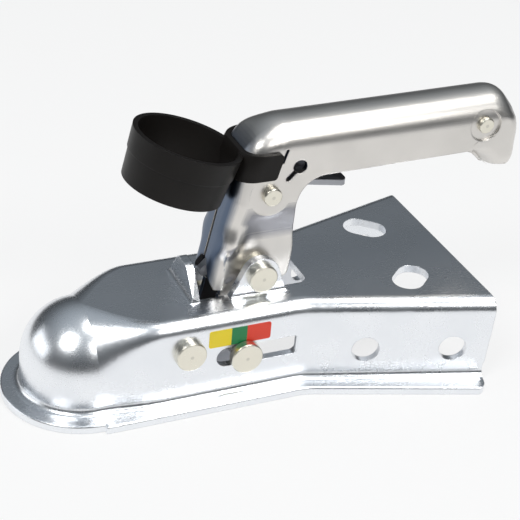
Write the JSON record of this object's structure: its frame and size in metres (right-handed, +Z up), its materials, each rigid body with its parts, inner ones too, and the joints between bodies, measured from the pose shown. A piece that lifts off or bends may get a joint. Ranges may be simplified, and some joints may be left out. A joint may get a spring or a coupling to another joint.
{
  "type": "trailer coupling head",
  "caption": "Zinc plated ball coupling head for a small trailer, with hand lever, safety catch, sliding jaw and a plastic holder for the ball's cap.",
  "frame": {"origin": "centre of the tow ball when coupled", "axes": "+X back towards the drawbar, +Z up, -Y the side with the coloured label"},
  "size_m": [0.2646, 0.1362, 0.1349],
  "materials": {
    "zinc_sheet": "bright blue zinc plating",
    "zinc_lever": "bright blue zinc plating",
    "jaw_steel": "zinc plated forging",
    "rivet_steel": "zinc plated, slightly yellow",
    "spring_steel": "drawn wire",
    "label_film": "printed film in three colour fields",
    "black_plastic": "satin moulded"
  },
  "bodies": {
    "root": {"housing": "zinc_sheet", "jaw_pin": "rivet_steel", "jaw_guide_sleeve": "rivet_steel", "jaw_spring_near": "spring_steel", "jaw_spring_far": "spring_steel", "indicator_label": "label_film", "lever_pivot_pin": "rivet_steel"},
    "lever": {"lever": "zinc_lever", "pivot_bush_near": "rivet_steel", "pivot_bush_far": "rivet_steel", "catch_pin": "rivet_steel", "catch_spacer_near": "rivet_steel", "catch_spacer_far": "rivet_steel", "catch_spring": "spring_steel", "grip_end_pin": "rivet_steel", "grip_end_spacer": "rivet_steel", "cap_holder_ring": "black_plastic"},
    "jaw": {"ball_jaw": "jaw_steel", "indicator_pin": "rivet_steel"},
    "catch": {"catch": "zinc_lever"}
  },
  "joints": [
    {"name": "lever_swing", "type": "hinge", "parent": "root", "child": "lever", "pos_m": [0.0843, 0, 0.0394], "axis": [0, -1, 0], "range_deg": [0, 38]},
    {"name": "jaw_slide", "type": "slide", "parent": "root", "child": "jaw", "axis": [1, 0, 0], "range_m": [0, 0.0228], "stiffness_N_per_m": 900, "springref_m": -0.01, "deforming": ["jaw_spring_near", "jaw_spring_far"]},
    {"name": "catch_squeeze", "type": "hinge", "parent": "lever", "child": "catch", "pos_m": [0.087, 0, 0.082], "axis": [0, -1, 0], "range_deg": [0, 10], "stiffness_Nm_per_rad": 0.4, "springref_deg": -17.19, "deforming": ["catch_spring"]}
  ],
  "couplings": [
    {"joint": "jaw_slide", "follows": "lever_swing", "m_per_rad": 0.034221}
  ]
}
